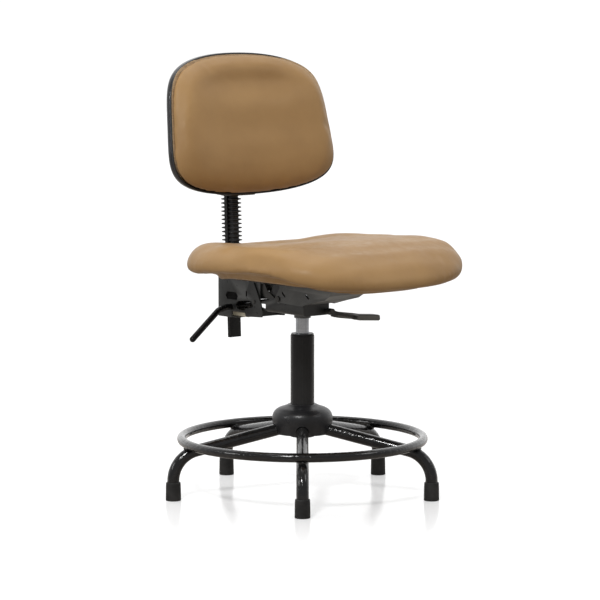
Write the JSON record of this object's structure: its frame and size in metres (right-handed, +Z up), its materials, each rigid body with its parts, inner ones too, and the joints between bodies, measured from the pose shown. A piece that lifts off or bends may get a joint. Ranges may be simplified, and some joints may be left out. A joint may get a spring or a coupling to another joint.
{
  "type": "adjustable swivel stool",
  "caption": "Swivel work chair on a tubular base with a foot ring, height-adjustable tilting seat and a sliding, reclining backrest.",
  "frame": {"origin": "on the floor on the column axis", "axes": "+Z up, the seat's front edge towards -Y, the sitter's right towards -X"},
  "size_m": [0.5671, 0.6273, 0.9258],
  "materials": {
    "black_gloss": "gloss black powder coat",
    "dark_steel": "satin dark grey",
    "steel": "satin",
    "chrome": "polished",
    "black_plastic": "satin black",
    "shell_plastic": "gloss black",
    "nylon": "cream",
    "rubber": "matte black",
    "wood": "plain plywood",
    "vinyl": "tan vinyl with a fine grain"
  },
  "bodies": {
    "base": {"base_hub": "black_gloss", "leg_1": "black_gloss", "leg_2": "black_gloss", "leg_3": "black_gloss", "leg_4": "black_gloss", "leg_5": "black_gloss", "foot_tip_1": "rubber", "foot_tip_2": "rubber", "foot_tip_3": "rubber", "foot_tip_4": "rubber", "foot_tip_5": "rubber", "foot_ring": "black_gloss", "hub_cover": "black_plastic", "column_tube": "black_gloss", "guide_bush": "black_plastic", "tube_end_plate": "steel", "bearing_lower_race": "steel"},
    "turning_rod": {"piston_rod": "steel", "rod_clip": "steel", "piston": "steel", "bearing_balls": "steel", "bearing_upper_race": "steel", "bump_ring": "rubber"},
    "lift": {"lift_cylinder": "chrome", "rod_gland": "steel", "taper_socket": "dark_steel", "mechanism_housing": "dark_steel", "lever_lugs": "dark_steel", "lever_pivot_pin": "steel"},
    "valve": {"release_pin": "steel"},
    "height_lever": {"height_lever_arm": "dark_steel", "height_lever_grip": "black_plastic"},
    "tilt_lever": {"tilt_lever_arm": "dark_steel", "tilt_lever_grip": "black_plastic"},
    "seat": {"seat_plate": "dark_steel", "seat_pivot_pin": "steel", "lock_block": "black_plastic", "seat_bolts": "steel", "seat_board": "wood", "seat_cushion": "vinyl"},
    "carrier": {"back_bracket": "dark_steel", "back_pivot_pin": "steel", "bar_guide": "black_plastic", "nylon_wedge": "nylon", "clamp_plate": "dark_steel", "friction_plates": "steel", "friction_bolt": "steel", "bellows": "rubber"},
    "clamp": {"clamp_lever": "black_gloss"},
    "backrest": {"upright_bar": "black_gloss", "back_mount": "dark_steel", "mount_bolts": "steel", "back_board": "wood", "back_shell": "shell_plastic", "back_edge_trim": "shell_plastic", "back_cushion": "vinyl"}
  },
  "joints": [
    {"name": "column_swivel", "type": "hinge", "parent": "base", "child": "turning_rod", "pos_m": [0, 0, 0.125], "axis": [0, 0, 1], "continuous": true},
    {"name": "seat_lift", "type": "slide", "parent": "turning_rod", "child": "lift", "axis": [0, 0, 1], "range_m": [0, 0.13]},
    {"name": "valve_press", "type": "slide", "parent": "lift", "child": "valve", "axis": [0, 0, -1], "range_m": [0, 0.004]},
    {"name": "height_lever_lift", "type": "hinge", "parent": "lift", "child": "height_lever", "pos_m": [0.028, 0, 0.404], "axis": [0, -1, 0], "range_deg": [0, 6.9], "stiffness_Nm_per_rad": 0.6},
    {"name": "tilt_lever_lift", "type": "hinge", "parent": "lift", "child": "tilt_lever", "pos_m": [0.026, -0.06, 0.388], "axis": [0, -1, 0], "range_deg": [0, 8]},
    {"name": "seat_tilt", "type": "hinge", "parent": "lift", "child": "seat", "pos_m": [0, 0.024, 0.412], "axis": [-1, 0, 0], "range_deg": [-4, 6]},
    {"name": "back_angle", "type": "hinge", "parent": "seat", "child": "carrier", "pos_m": [0, 0.121, 0.397], "axis": [-1, 0, 0], "range_deg": [-6, 14]},
    {"name": "back_clamp", "type": "hinge", "parent": "carrier", "child": "clamp", "pos_m": [0, 0.2, 0.38], "axis": [-1, 0, 0], "range_deg": [0, 40]},
    {"name": "back_height", "type": "slide", "parent": "carrier", "child": "backrest", "axis": [0, 0.0366, 0.9993], "range_m": [-0.04, 0.06], "deforming": ["bellows"]}
  ],
  "couplings": [
    {"joint": "valve_press", "follows": "height_lever_lift", "m_per_rad": 0.031}
  ]
}
